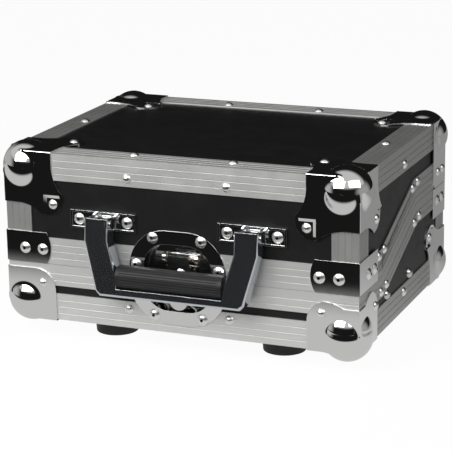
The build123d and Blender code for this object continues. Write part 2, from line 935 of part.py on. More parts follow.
def latch_dish():
    """The pressed dish in one piece, before the parting line divides it."""
    plate = rounded_slab(dish_width, dish_height, dish_corner, -dish_sheet, 0)
    cup = rounded_slab(cup_width, cup_height, cup_corner, 0, dish_depth + dish_sheet)
    hollow = rounded_slab(recess_width, recess_height, recess_corner, -2 * sheet, dish_depth)
    return plate + cup - hollow


def make_latch_dishes():
    dish = latch_dish()
    pin_y = keeper_depth
    upper = dish & above_parting
    for sx in (-1, 1):
        inner, outer = sorted((sx * keeper_lug_inner, sx * (keeper_lug_inner + keeper_lug_thickness)))
        lug = rod_x(keeper_lug_radius, inner, outer, pin_y, keeper_z)
        lug += block(
            (inner, outer),
            (pin_y, dish_depth),
            (keeper_z - keeper_lug_radius, keeper_z + keeper_lug_radius),
        )
        upper += lug
    upper -= rod_x(keeper_radius + running, -keeper_pin_half, keeper_pin_half, pin_y, keeper_z)
    write("latch_dish_upper", cut(upper, lid_holes))
    write("latch_dish_lower", cut(dish & below_parting, base_holes))
    pin = rod_x(keeper_radius, -keeper_pin_half, keeper_pin_half, pin_y, keeper_z)
    write("latch_keeper_pin", pin)


def make_latch_bridge():
    """The bracket on the lower dish that carries the rotor and the hook."""
    z0, z1 = rotor_z - bridge_below, rotor_z + bridge_above
    back = bridge_front + bridge_sheet
    plate = block((-bridge_half_width, bridge_half_width), (bridge_front, back), (z0, z1))
    foot_top = rotor_z - hook_below / 2
    for sx in (-1, 1):
        inner, outer = sorted((sx * (bridge_half_width - bridge_leg), sx * bridge_half_width))
        plate += block((inner, outer), (back, dish_depth), (z0, foot_top))
        ear_in = sx * (hook_half_width + ear_gap)
        inner, outer = sorted((ear_in, ear_in + sx * ear_thickness))
        ear = rod_x(ear_radius, inner, outer, hook_pivot_y, rotor_z)
        ear += block(
            (inner, outer),
            (hook_pivot_y, bridge_front),
            (rotor_z - ear_radius, rotor_z + ear_radius),
        )
        plate += ear
    reach = hook_half_width + 2 * ear_thickness
    plate -= rod_x(trunnion_radius + running, -reach, reach, hook_pivot_y, rotor_z)
    plate -= rod_y(spindle_radius + running, 0, dish_depth, 0, rotor_z)
    write("latch_bridge", plate)


def make_latch_rotor():
    back = bridge_front + bridge_sheet
    rotor = rod_y(hub_radius, 0, hub_depth, 0, rotor_z)
    rotor += rod_y(spindle_radius, hub_depth, back + fit + spindle_head, 0, rotor_z)
    rotor += rod_y(spindle_head_radius, back + fit, back + fit + spindle_head, 0, rotor_z)
    cap = Plane(origin=(0, 0, rotor_z), z_dir=(0, -1, 0)) * dome(hub_radius - hub_cap_inset, hub_cap_height)
    rotor += cap
    pin_y = hub_depth / 2
    rotor -= rod_x(wing_pin_radius, -hub_radius, hub_radius, pin_y, rotor_z)
    write("latch_rotor", rotor)
    write("latch_wing_pin", rod_x(wing_pin_radius, -wing_fork, wing_fork, pin_y, rotor_z))


def make_latch_wing():
    """The folding wing, pointing down: a fork round the hub that ends in a round lobe."""
    tip = wing_reach - wing_lobe_radius
    leg = hub_depth / 2
    points = [
        (-wing_fork, leg),
        (wing_fork, leg),
        (wing_fork, -hub_radius - wing_shoulder),
        (wing_lobe_radius, -tip),
        (-wing_lobe_radius, -tip),
        (-wing_fork, -hub_radius - wing_shoulder),
    ]
    outline = make_face(Polyline(*points, close=True)) + Pos(0, -tip) * Circle(wing_lobe_radius)
    outline -= Circle(hub_radius + fit)
    outline -= Pos(0, hub_radius) * Rectangle(2 * (hub_radius + fit), 2 * hub_radius)
    wing = extrude(Plane.XZ.offset(-hub_depth) * Pos(0, rotor_z) * outline, hub_depth)
    slot = Pos(0, -tip) * SlotOverall(wing_lobe_radius, wing_slot_width)
    wing -= extrude(Plane.XZ * Pos(0, rotor_z) * slot, -wing_slot_depth)
    bore = rod_x(wing_pin_radius + running, -2 * wing_fork, 2 * wing_fork, hub_depth / 2, rotor_z)
    write("latch_wing", wing - bore)


def make_latch_hook():
    """The hook as it stands when the latch is free, leaning out of the keeper pin's way."""
    top = keeper_z + keeper_radius + hook_play + hook_sheet
    back = hook_front + hook_sheet
    half = hook_half_width
    hook = block((-half, half), (hook_front, back), (rotor_z - hook_below, top))
    hook += block((-half, half), (hook_front, hook_reach), (top - hook_sheet, top))
    hook -= rod_y(hook_bore, 0, dish_depth, 0, rotor_z)
    stub = half + ear_gap + ear_thickness
    trunnions = rod_x(trunnion_radius, -stub, stub, hook_pivot_y, rotor_z)
    trunnions -= block((-half + trunnion_root, half - trunnion_root), (0, dish_depth), (0, case_height))
    hook += trunnions
    pivot = Pos(0, hook_pivot_y, rotor_z)
    lean = pivot * Rot(hook_release, 0, 0) * pivot.inverse()
    write("latch_hook", lean * hook)


# Drop handle, drawn hanging straight down from its pivot and then leaned out

handle_pivot = Pos(0, -handle_out, handle_z)
handle_lean = handle_pivot * Rot(-handle_tilt, 0, 0)


def bail_outline(inset):
    """Half of the handle's outline around its arm and bar, drawn in by inset, as seen in front."""
    outer_top = handle_x + arm_width / 2 - inset
    inner_top = handle_x - arm_width / 2 + inset
    outer_low = bail_bottom_half - inset
    inner_low = grip_half + inset
    bar_top = -(grip_drop + grip_radius + fit) - inset
    top = arm_top + (arm_back if inset else 0)
    corner = bail_corner
    return [
        (0.0, -bail_drop + inset),
        (outer_low - corner, -bail_drop + inset),
        (outer_low, -bail_drop + inset + corner),
        (outer_top, -arm_straight),
        (outer_top, top),
        (inner_top, top),
        (inner_top, -arm_straight),
        (inner_low, -grip_drop),
        (inner_low, bar_top),
        (0.0, bar_top),
    ]


def make_handle():
    half = along_y(bail_outline(0.0), -arm_front, arm_back)
    pocket = along_y(bail_outline(bail_wall), -arm_front + bail_wall, 2 * arm_back)
    half = half - pocket
    half -= rod_x(pivot_radius, 0, case_width, 0, 0)
    half -= rod_x(rod_radius, 0, grip_half + bail_wall, 0, -grip_drop)
    bail = half + flip_x(half)
    write("handle_bail", handle_lean * bail)

    grip = rod_x(grip_radius, -grip_half + fit, grip_half - fit, 0, -grip_drop)
    rib_end = grip_half - grip_rib_margin
    rib = rod_x(grip_rib_depth, -rib_end, rib_end, grip_radius, 0)
    for n in range(grip_ribs):
        turn = Pos(0, 0, -grip_drop) * Rot(360.0 * n / grip_ribs, 0, 0)
        grip -= turn * rib
    grip -= rod_x(rod_radius, -grip_half, grip_half, 0, -grip_drop)
    write("handle_grip", handle_lean * grip)
    rod_end = grip_half + bail_wall
    write("handle_rod", handle_lean * rod_x(rod_radius, -rod_end, rod_end, 0, -grip_drop))

    inner = handle_x - arm_width / 2
    outer = handle_x + arm_width / 2
    pin = rod_x(pivot_radius, inner, outer, 0, 0)
    pin += rod_x(pivot_head_radius, inner - pivot_head, inner, 0, 0)
    pin += rod_x(pivot_head_radius, outer, outer + pivot_head, 0, 0)
    write("handle_pivot_pins", handle_lean * pin, handle_lean * flip_x(pin))


def make_handle_brackets():
    """Two riveted plates, each with a pair of ears for the pivot pin."""
    seat = sheet
    face = sheet - bracket_sheet
    z0, z1 = handle_z - bracket_height / 2, handle_z + bracket_height / 2
    x0, x1 = handle_x - bracket_width / 2, handle_x + bracket_width / 2
    plate = block((x0, x1), (face, seat), (z0, z1))
    border = block((x0, x1), (face - bracket_rim, face), (z0, z1))
    w = bracket_rim_width
    border -= block((x0 + w, x1 - w), (face - 2 * bracket_rim, seat), (z0 + w, z1 - w))
    plate += border
    for x in (handle_x - bracket_ear_x, handle_x + bracket_ear_x):
        span = (x - bracket_ear / 2, x + bracket_ear / 2)
        plate += rod_x(bracket_ear_radius, *span, -handle_out, handle_z)
        plate += block(
            span,
            (-handle_out, face),
            (handle_z - bracket_ear_radius, handle_z + bracket_ear_radius),
        )
    plate -= rod_x(pivot_radius + running, x0, x1, -handle_out, handle_z)
    plate = cut(plate, lid_holes)
    write("handle_brackets", plate, flip_x(plate))


# Hinges

def hinge_pair(part):
    """Two leaves with their knuckles; the base has the outer knuckles, the lid the middle one."""
    y0, y1 = case_depth, case_depth + hinge_leaf
    pin_y = case_depth + hinge_out
    play = fit
    middle = (hinge_x - hinge_knuckle, hinge_x + hinge_knuckle)
    left = (hinge_x - hinge_half, middle[0] - play)
    right = (middle[1] + play, hinge_x + hinge_half)
    ends = (hinge_x - hinge_half, hinge_x + hinge_half)
    clear = hinge_barrel + fit
    gap = parting_gap / 2
    if part == "lid":
        z0, z1 = back_parting + gap, back_parting + hinge_leaf_height
        own, others = [middle], [left, right]
    else:
        z0, z1 = back_parting - hinge_leaf_height, back_parting - gap
        own, others = [left, right], [middle]
    leaf = block(ends, (y0, y1), (z0, z1))
    for span in others:
        wide = (span[0] - play, span[1] + play)
        leaf -= rod_x(clear, *wide, pin_y, back_parting)
    for span in own:
        leaf += rod_x(hinge_barrel, *span, pin_y, back_parting)
    leaf -= rod_x(hinge_pin_radius + running, *ends, pin_y, back_parting)
    holes = lid_holes if part == "lid" else base_holes
    leaf = cut(leaf, holes)
    return [leaf, flip_x(leaf)]


def make_hinges():
    write("hinge_leaves_upper", *hinge_pair("lid"))
    write("hinge_leaves_lower", *hinge_pair("base"))
    pin_y = case_depth + hinge_out
    pin = rod_x(hinge_pin_radius, hinge_x - hinge_half, hinge_x + hinge_half, pin_y, back_parting)
    write("hinge_pins", pin, flip_x(pin))


# Foam lining: a flat sheet and four wall strips in each half

foam_out = inner_skin + fit
foam_in = foam_out + foam
floor_foam_top = inner_skin + fit + floor_foam
foam_rise = rim_hem + parting_gap / 2 + foam_below_rim
pocket_half = cup_width / 2 + latch_pocket_margin
pocket_top = dish_z + cup_height / 2 + latch_pocket_margin


def foam_sheet():
    reach = half_width - foam_out
    return block((-reach, reach), (foam_out, case_depth - foam_out), (foam_out, floor_foam_top))


def foam_end(x0, x1, z0, z1):
    return block((x0, x1), (foam_out, foam_in), (z0, z1))


def foam_side(points):
    return along_x(points, half_width - foam_in, half_width - foam_out)


def make_foam():
    low = floor_foam_top + fit
    high = case_height - low
    reach = half_width - foam_out
    y0, y1 = foam_in + fit, case_depth - foam_in - fit
    base_side = foam_side(clip_line(parting_line(-foam_rise), y0, y1) + [(y1, low), (y0, low)])
    lid_side = foam_side(clip_line(parting_line(foam_rise), y0, y1) + [(y1, high), (y0, high)])
    base_front = foam_end(-reach, -pocket_half, low, front_parting - foam_rise)
    lid_front = foam_end(-reach, -pocket_half, front_parting + foam_rise, high)
    over_latch = foam_end(-pocket_half + fit, pocket_half - fit, pocket_top, high)
    base_back = flip_y(foam_end(-reach, reach, low, back_parting - foam_rise))
    lid_back = flip_y(foam_end(-reach, reach, back_parting + foam_rise, high))
    base_strips = (base_front, flip_x(base_front), base_back, base_side, flip_x(base_side))
    lid_strips = (lid_front, flip_x(lid_front), over_latch, lid_back, lid_side, flip_x(lid_side))
    write("base_floor_foam", foam_sheet())
    write("base_wall_foam", *base_strips)
    write("lid_top_foam", flip_z(foam_sheet()))
    write("lid_wall_foam", *lid_strips)


def make_fasteners():
    write("lid_dome_rivets", *set_fasteners(lid_dome_places, dome_rivet))
    write("base_dome_rivets", *set_fasteners(base_dome_places, dome_rivet))
    write("lid_hollow_rivets", *set_fasteners(lid_blind_places, blind_rivet))
    write("base_hollow_rivets", *set_fasteners(base_blind_places, blind_rivet))
    write("base_side_bolts", *set_fasteners(side_bolt_places, side_bolt))


os.makedirs("parts", exist_ok=True)
make_panels()
make_angles()
make_posts()
make_rims()
make_ball_corners()
make_braces()
make_feet()
make_latch_dishes()
make_latch_bridge()
make_latch_rotor()
make_latch_wing()
make_latch_hook()
make_handle()
make_handle_brackets()
make_hinges()
make_foam()
make_fasteners()
print(len(written), "nodes, slope", round(degrees(slope), 2), "degrees, front at y", front_shift)
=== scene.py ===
# %% [markdown]
# # A lighting flight case, dressed for the camera
#
# The exact shapes of this case were drawn as solids first, and they arrive here as a fixed frame:
# every panel, profile, rivet and latch part already stands where it belongs, in metres. Blender's
# job is the look. Each lesson below first says what a piece is on the real case, then how it is
# made and why that way was chosen.

import json
from math import cos, radians, sin, sqrt

import bmesh
import bpy
from mathutils import Matrix, Vector, noise

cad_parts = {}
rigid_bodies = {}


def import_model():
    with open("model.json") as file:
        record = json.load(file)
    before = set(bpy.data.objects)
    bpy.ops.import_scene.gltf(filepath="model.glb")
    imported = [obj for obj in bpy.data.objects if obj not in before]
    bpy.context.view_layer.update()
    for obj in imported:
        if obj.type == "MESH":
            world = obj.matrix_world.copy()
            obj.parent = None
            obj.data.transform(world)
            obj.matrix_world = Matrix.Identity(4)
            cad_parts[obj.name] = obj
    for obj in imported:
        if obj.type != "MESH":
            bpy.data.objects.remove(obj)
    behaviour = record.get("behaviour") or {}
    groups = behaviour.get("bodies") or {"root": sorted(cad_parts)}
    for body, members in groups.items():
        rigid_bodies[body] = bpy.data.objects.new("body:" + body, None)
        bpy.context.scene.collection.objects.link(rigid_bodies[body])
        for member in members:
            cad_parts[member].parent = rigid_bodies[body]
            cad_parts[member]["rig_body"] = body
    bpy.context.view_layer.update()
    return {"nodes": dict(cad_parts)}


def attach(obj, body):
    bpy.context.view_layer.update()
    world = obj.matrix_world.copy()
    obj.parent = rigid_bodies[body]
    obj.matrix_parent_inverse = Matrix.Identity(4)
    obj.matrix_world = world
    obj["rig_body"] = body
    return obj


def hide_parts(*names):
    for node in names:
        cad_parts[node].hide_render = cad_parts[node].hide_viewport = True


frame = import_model()
MM = 0.001

# %% [markdown]
# ## The camera
#
# The photograph was taken from the front right, a little above the case, with a long lens, so the
# edges hardly converge. The position below came from matching the case's straight edges, and the
# small roll is the tilt of the real camera. A long lens far away is what keeps the box looking
# solid and calm instead of bulging.

# %% Camera
CAMERA_PLACE = Vector((0.7795, -1.8940, 0.6811))
CAMERA_LOOK = Vector((-0.36785, 0.88963, -0.27065)).normalized()
CAMERA_ROLL = radians(-0.98)
SENSOR_WIDTH = 36.0
FOCAL_LENGTH = 149.8

level_right = CAMERA_LOOK.cross(Vector((0, 0, 1))).normalized()
level_up = level_right.cross(CAMERA_LOOK)
camera_right = level_right * cos(CAMERA_ROLL) + level_up * sin(CAMERA_ROLL)
camera_up = camera_right.cross(CAMERA_LOOK)

lens = bpy.data.cameras.new("camera")
lens.sensor_width = SENSOR_WIDTH
lens.lens = FOCAL_LENGTH
camera = bpy.data.objects.new("camera", lens)
bpy.context.scene.collection.objects.link(camera)
turn = Matrix((camera_right, camera_up, -CAMERA_LOOK)).transposed()
camera.matrix_world = Matrix.Translation(CAMERA_PLACE) @ turn.to_4x4()
bpy.context.scene.camera = camera
bpy.context.scene.view_settings.view_transform = "Standard"
print("camera", round(CAMERA_PLACE.length, 2), "m from the case")

# %% [markdown]
# ## The studio
#
# Chrome shows nothing but its surroundings, so the studio decides how this case looks. The floor is
# white, as in the photograph, and so is the room, a shade greyer. Yet most of what the photograph's
# chrome mirrors is black. The real studio seems to have had dark walls, a white table that ends
# about twenty centimetres in front of the case, a pale ceiling and two large softboxes.
# Photographers do the same with black cards, held just outside the picture. Here one big dark tent
# and one card just above the floor do that job. Only mirror reflections see them: they cast no
# shadow and take no light away from the case. Without them the chrome would turn white all over.

# %% Helpers for wiring nodes
def link(tree, source, target):
    """Join two sockets, so that a material reads as a list of wires."""
    tree.links.new(source, target)


def maths(tree, operation, a, b=None, clamp=False):
    """One Math node; a and b are sockets or numbers."""
    node = tree.nodes.new("ShaderNodeMath")
    node.operation = operation
    node.use_clamp = clamp
    for place, value in enumerate((a, b)):
        if value is None:
            continue
        if isinstance(value, (int, float)):
            node.inputs[place].default_value = value
        else:
            link(tree, value, node.inputs[place])
    return node.outputs[0]


def remap(tree, value, low, high, to_low=0.0, to_high=1.0, smooth=False):
    """A Map Range node that spreads low..high over to_low..to_high."""
    node = tree.nodes.new("ShaderNodeMapRange")
    node.interpolation_type = "SMOOTHSTEP" if smooth else "LINEAR"
    node.inputs["From Min"].default_value = low
    node.inputs["From Max"].default_value = high
    node.inputs["To Min"].default_value = to_low
    node.inputs["To Max"].default_value = to_high
    link(tree, value, node.inputs["Value"])
    return node.outputs["Result"]


# %% World: a pale room, and a soft fill on the case
ROOM_COLOUR = (0.8, 0.8, 0.8, 1.0)
ROOM_FILL = 0.16
PALE_FOR = ("Is Camera Ray", "Is Glossy Ray", "Is Transmission Ray")


def any_of(tree, *kinds):
    """One where a ray is of one of these kinds, and zero elsewhere."""
    rays = tree.nodes.new("ShaderNodeLightPath")
    found = rays.outputs[kinds[0]]
    for kind in kinds[1:]:
        found = maths(tree, "MAXIMUM", found, rays.outputs[kind])
    return found


world = bpy.data.worlds.new("studio")
bpy.context.scene.world = world
world.use_nodes = True
tree = world.node_tree
tree.nodes.clear()
background = tree.nodes.new("ShaderNodeBackground")
background.inputs["Color"].default_value = ROOM_COLOUR
strength = remap(tree, any_of(tree, *PALE_FOR), 0, 1, ROOM_FILL, 1.0)
link(tree, strength, background.inputs["Strength"])
output = tree.nodes.new("ShaderNodeOutputWorld")
link(tree, background.outputs[0], output.inputs[0])
print("world ready")

# %% Floor: a white table that keeps the shadow of the case
FLOOR_REACH = 6.0
TABLE_PAINT = (0.90, 0.90, 0.90, 1)
TABLE_GLOW_SHARE = 0.96


def stage_sheet(name, reach, height):
    """A flat square that belongs to the studio."""
    mesh = bpy.data.meshes.new(name)
    form = bmesh.new()
    bmesh.ops.create_grid(form, x_segments=1, y_segments=1, size=reach,
                          matrix=Matrix.Translation((0, 0, height)))
    form.to_mesh(mesh)
    form.free()
    sheet = bpy.data.objects.new(name, mesh)
    bpy.context.scene.collection.objects.link(sheet)
    return sheet


floor = stage_sheet("floor", FLOOR_REACH, 0.0)
table = bpy.data.materials.new("white_table")
table.use_nodes = True
tree = table.node_tree
tree.nodes.clear()
paint = tree.nodes.new("ShaderNodeBsdfDiffuse")
paint.inputs["Color"].default_value = TABLE_PAINT
white = tree.nodes.new("ShaderNodeEmission")
both = tree.nodes.new("ShaderNodeMixShader")
link(tree, remap(tree, any_of(tree, *PALE_FOR), 0, 1, 0.0, TABLE_GLOW_SHARE), both.inputs[0])
link(tree, paint.outputs[0], both.inputs[1])
link(tree, white.outputs[0], both.inputs[2])
output = tree.nodes.new("ShaderNodeOutputMaterial")
link(tree, both.outputs[0], output.inputs["Surface"])
floor.data.materials.append(table)
print("floor ready")


# %% A card that only mirror rays see
def card(sheet, bands, dark, light, fade):
    """Give a stage piece a glow that rises along its axes, for mirror rays only.

    Each band is (axis, from, to, share of the light). fade is (from, to, what is left): all bands
    but those along X fall off towards the back between two values of y.
    """
    material = bpy.data.materials.new(sheet.name + "_glow")
    material.use_nodes = True
    tree = material.node_tree
    tree.nodes.clear()
    place = tree.nodes.new("ShaderNodeTexCoord")
    apart = tree.nodes.new("ShaderNodeSeparateXYZ")
    link(tree, place.outputs["Object"], apart.inputs[0])
    glow = tree.nodes.new("ShaderNodeEmission")
    level = dark
    for axis, low, high, top in bands:
        band = remap(tree, apart.outputs[axis], low, high, dark, top * light, smooth=True)
        if axis != "X":
            start, end, left = fade
            share = remap(tree, apart.outputs["Y"], start, end, 1.0, left, smooth=True)
            band = maths(tree, "MULTIPLY", band, share)
        level = maths(tree, "MAXIMUM", level, band)
    link(tree, level, glow.inputs["Strength"])
    output = tree.nodes.new("ShaderNodeOutputMaterial")
    link(tree, glow.outputs[0], output.inputs["Surface"])
    sheet.data.materials.append(material)
    for kind in ("camera", "diffuse", "transmission", "volume_scatter", "shadow"):
        setattr(sheet, "visible_" + kind, False)


# %% The tent round the case, and the card above the floor
CARD_DARK = 0.010
TENT_RADIUS = 3.0
TENT_LIGHT = 0.60
CEILING = ("Z", 0.95, 1.60, 1.0)
LEFT_WALL = ("X", -1.9, -2.8, 0.8)
RIGHT_WALL = ("X", 2.1, 2.9, 0.6)
CEILING_FADE = (0.3, 1.3, 0.0)
CARD_REACH = 2.9
CARD_HEIGHT = 0.0004
TABLE_LIGHT = 0.60
TABLE_END = -0.38
TABLE_BLUR = 0.07
TABLE_FADE = (-0.05, 0.35, 0.5)

tent_mesh = bpy.data.meshes.new("tent")
form = bmesh.new()
bmesh.ops.create_uvsphere(form, u_segments=48, v_segments=24, radius=TENT_RADIUS)
form.to_mesh(tent_mesh)
form.free()
tent = bpy.data.objects.new("tent", tent_mesh)
bpy.context.scene.collection.objects.link(tent)
card(tent, (CEILING, LEFT_WALL, RIGHT_WALL), CARD_DARK, TENT_LIGHT, CEILING_FADE)

table_band = ("Y", TABLE_END - TABLE_BLUR, TABLE_END + TABLE_BLUR, 1.0)
card(stage_sheet("table_card", CARD_REACH, CARD_HEIGHT), (table_band,), CARD_DARK, TABLE_LIGHT,
     TABLE_FADE)
print("a tent of", TENT_RADIUS, "m and a card above the floor")

# %% [markdown]
# ## The two softboxes
#
# In each ball corner the softboxes show as two bright panes side by side. Their places were read
# off a ball: a point of a mirror ball reflects one known direction. Each box is given by its
# bearing and height as seen from the case towards the camera, and both are aimed at the case.

# %% Softboxes
SOFTBOX_DISTANCE = 1.6
CASE_HEART = Vector((0, 0, 0.11))


def softbox(name, bearing, rise, width, height, watts):
    """A rectangular lamp, placed by angles measured from the camera's line of sight."""
    a, e = radians(bearing), radians(rise)
    way = camera_right * (sin(a) * cos(e)) + camera_up * sin(e) - CAMERA_LOOK * (cos(a) * cos(e))
    data = bpy.data.lights.new(name, "AREA")
    data.shape = "RECTANGLE"
    data.size, data.size_y = width, height
    data.energy = watts
    lamp = bpy.data.objects.new(name, data)
    bpy.context.scene.collection.objects.link(lamp)
    across = camera_up.cross(way).normalized()
    axes = Matrix((across, way.cross(across), way)).transposed()
    lamp.matrix_world = Matrix.Translation(CASE_HEART + way * SOFTBOX_DISTANCE) @ axes.to_4x4()
    lamp.visible_camera = False


softbox("softbox_left", bearing=-37, rise=25, width=1.36, height=0.78, watts=27.0)
softbox("softbox_right", bearing=29, rise=25, width=1.30, height=0.78, watts=6.0)
print("two softboxes,", SOFTBOX_DISTANCE, "m away")

# %% [markdown]
# ## Shared surface effects
#
# Real surfaces are never even. Three effects come back on almost every material here, so each is
# made once as a node group and placed with its own values:
#
# - *drawn lines*: the fine streaks that a die leaves along an aluminium profile;
# - *handling*: soft cloudy marks, and a few thin scratches, where hands and dust have been;
# - *pebble*: the tiny lumps of laminate, rubber and cast plastic.
#
# All of them read Object coordinates. Every piece sits at the origin in metres, so a pattern has
# its real size, and it stays on the piece when the lid opens.

# %% Helpers for node groups
def new_group(name, inputs, outputs):
    """An empty node group with named inputs (label, kind, value) and outputs (label, kind)."""
    tree = bpy.data.node_groups.new(name, "ShaderNodeTree")
    for label, kind, value in inputs:
        socket = tree.interface.new_socket(label, in_out="INPUT", socket_type=kind)
        socket.default_value = value
    for label, kind in outputs:
        tree.interface.new_socket(label, in_out="OUTPUT", socket_type=kind)
    return tree, tree.nodes.new("NodeGroupInput"), tree.nodes.new("NodeGroupOutput")


def stretched_noise(tree, scale, detail, roughness=0.5):
    """Noise on Object coordinates that a vector socket or a triple of numbers stretches."""
    place = tree.nodes.new("ShaderNodeTexCoord")
    shape = tree.nodes.new("ShaderNodeVectorMath")
    shape.operation = "MULTIPLY"
    link(tree, place.outputs["Object"], shape.inputs[0])
    if isinstance(scale, tuple):
        shape.inputs[1].default_value = scale
    else:
        link(tree, scale, shape.inputs[1])
    texture = tree.nodes.new("ShaderNodeTexNoise")
    texture.inputs["Scale"].default_value = 1.0
    texture.inputs["Detail"].default_value = detail
    texture.inputs["Roughness"].default_value = roughness
    link(tree, shape.outputs[0], texture.inputs["Vector"])
    return texture.outputs["Fac"]


# %% Group: drawn lines
drawn, inside, outside = new_group(
    "drawn_lines",
    [("Stretch", "NodeSocketVector", (20.0, 2500.0, 2500.0)), ("Strength", "NodeSocketFloat", 1.0)],
    [("Value", "NodeSocketFloat"), ("Height", "NodeSocketFloat")],
)
streaks = stretched_noise(drawn, inside.outputs["Stretch"], detail=4.0, roughness=0.7)
centred = maths(drawn, "SUBTRACT", streaks, 0.5)
scaled = maths(drawn, "MULTIPLY", centred, inside.outputs["Strength"])
link(drawn, scaled, outside.inputs["Value"])
link(drawn, streaks, outside.inputs["Height"])
print(drawn.name)

# %% Group: handling marks
CLOUD_STRETCH = (38.0, 38.0, 38.0)
SCRATCH_STRETCHES = ((30.0, 620.0, 900.0), (700.0, 45.0, 520.0), (420.0, 800.0, 36.0))
SCRATCH_EDGE = (0.735, 0.76)

handling, inside, outside = new_group(
    "handling_marks",
    [("Clouds", "NodeSocketFloat", 0.1), ("Scratches", "NodeSocketFloat", 0.1)],
    [("Value", "NodeSocketFloat"), ("Scratch", "NodeSocketFloat")],
)
clouds = stretched_noise(handling, CLOUD_STRETCH, detail=5.0, roughness=0.62)
clouds = remap(handling, clouds, low=0.42, high=0.72, smooth=True)
clouds = maths(handling, "MULTIPLY", clouds, inside.outputs["Clouds"])
lanes = []
for stretch in SCRATCH_STRETCHES:
    lane = stretched_noise(handling, stretch, detail=2.0, roughness=0.4)
    lanes.append(remap(handling, lane, *SCRATCH_EDGE))
scratch = maths(handling, "MAXIMUM", maths(handling, "MAXIMUM", lanes[0], lanes[1]), lanes[2])
scratch = maths(handling, "MULTIPLY", scratch, inside.outputs["Scratches"])
link(handling, maths(handling, "ADD", clouds, scratch), outside.inputs["Value"])
link(handling, scratch, outside.inputs["Scratch"])
print(handling.name)

# %% Group: pebble
pebble, inside, outside = new_group(
    "pebble",
    [("Fineness", "NodeSocketFloat", 900.0)],
    [("Value", "NodeSocketFloat"), ("Height", "NodeSocketFloat")],
)
place = pebble.nodes.new("ShaderNodeTexCoord")
lumps = pebble.nodes.new("ShaderNodeTexNoise")
lumps.inputs["Detail"].default_value = 3.0
link(pebble, place.outputs["Object"], lumps.inputs["Vector"])
link(pebble, inside.outputs["Fineness"], lumps.inputs["Scale"])
link(pebble, lumps.outputs["Fac"], outside.inputs["Height"])
link(pebble, maths(pebble, "SUBTRACT", lumps.outputs["Fac"], 0.5), outside.inputs["Value"])
print(pebble.name)

# %% [markdown]
# ## Materials
#
# Every finish starts from the same small recipe: a Principled shader, one group that varies its
# roughness and colour a little, and a Bump node for the fine relief. What changes is the scale of
# the relief and how much of the room the surface mirrors.

# %% A material and its usual parts
def new_material(name, colour, metallic, roughness):
    """A material, its tree and its Principled shader."""
    material = bpy.data.materials.new(name)
    material.use_nodes = True
    shader = material.node_tree.nodes["Principled BSDF"]
    shader.inputs["Base Color"].default_value = (*colour, 1.0)
    shader.inputs["Metallic"].default_value = metallic
    shader.inputs["Roughness"].default_value = roughness
    return material, material.node_tree, shader


def use_group(tree, group, **values):
    """Place a node group with its own values."""
    node = tree.nodes.new("ShaderNodeGroup")
    node.node_tree = group
    for label, value in values.items():
        node.inputs[label].default_value = value
    return node


def vary(tree, shader, socket, mask, middle, amount):
    """Let a mask move a shader's number up from its middle."""
    moved = maths(tree, "MULTIPLY", mask, amount)
    link(tree, maths(tree, "ADD", moved, middle, clamp=True), shader.inputs[socket])


def tint(tree, shader, mask, dark, light):
    """Mix two colours by a mask into Base Color."""
    mix = tree.nodes.new("ShaderNodeMix")
    mix.data_type = "RGBA"
    mix.inputs["A"].default_value = (*dark, 1.0)
    mix.inputs["B"].default_value = (*light, 1.0)
    link(tree, mask, mix.inputs["Factor"])
    link(tree, mix.outputs["Result"], shader.inputs["Base Color"])


def relief(tree, shader, height, depth):
    """A Bump node that makes a pattern stand up by a depth in metres."""
    bump = tree.nodes.new("ShaderNodeBump")
    bump.inputs["Strength"].default_value = 1.0
    bump.inputs["Distance"].default_value = depth
    link(tree, height, bump.inputs["Height"])
    link(tree, bump.outputs[0], shader.inputs["Normal"])


# %% [markdown]
# ## Aluminium
#
# The profiles are drawn through a die, which leaves streaks along their length. One material can't
# know which way a profile runs, so there is one for each direction, with its noise stretched along
# that direction. In the photograph the profiles that run back and up look darker than those in
# front, probably because of how their streaks stand to the lamps. A plain roughness doesn't show
# that, so their base colour is darkened instead: that darkening is painted shade.

# %% Aluminium profiles, one for each direction they are drawn in
ALUMINIUM_LIGHT = (0.82, 0.82, 0.805)
ALUMINIUM_DARK = (0.68, 0.68, 0.665)
ALUMINIUM_ROUGHNESS = 0.46
ALONG_X, ALONG_Y, ALONG_Z = (8.0, 1900.0, 1900.0), (1900.0, 8.0, 1900.0), (1900.0, 1900.0, 8.0)


def drawn_aluminium(name, stretch, painted_shade=1.0):
    """Aluminium with streaks; painted_shade darkens all of its colour, as painted shade."""
    light = [c * painted_shade for c in ALUMINIUM_LIGHT]
    dark = [c * painted_shade for c in ALUMINIUM_DARK]
    material, tree, shader = new_material(name, light, 0.85, ALUMINIUM_ROUGHNESS)
    lines = use_group(tree, drawn, Stretch=stretch, Strength=0.7)
    marks = use_group(tree, handling, Clouds=0.5, Scratches=0.12)
    shade = maths(tree, "ADD", lines.outputs["Value"], 0.5, clamp=True)
    tint(tree, shader, shade, dark, light)
    both = maths(tree, "ADD", lines.outputs["Value"], marks.outputs["Value"])
    vary(tree, shader, "Roughness", both, middle=ALUMINIUM_ROUGHNESS, amount=0.10)
    relief(tree, shader, lines.outputs["Height"], depth=0.000006)
    return material


aluminium_x = drawn_aluminium("aluminium_drawn_across", ALONG_X)
# Painted shade: the profiles drawn back and up have their whole colour darkened.
aluminium_back_painted_shade = drawn_aluminium("aluminium_drawn_back_painted_shade", ALONG_Y, painted_shade=0.60)
aluminium_up_painted_shade = drawn_aluminium("aluminium_drawn_up_painted_shade", ALONG_Z, painted_shade=0.56)
print("three directions of aluminium")

# %% [markdown]
# ## Plated steel
#
# Corners, braces, dish and handle look like bright chrome, rivets like nickel and bolts like zinc,
# and the keeper's pin has a coppery tint. They are all one recipe. What tells them apart is the
# colour, and how far the roughness lets the mirror image go soft. A faint ripple bends the mirror
# image on pressed sheet, which is never quite flat.

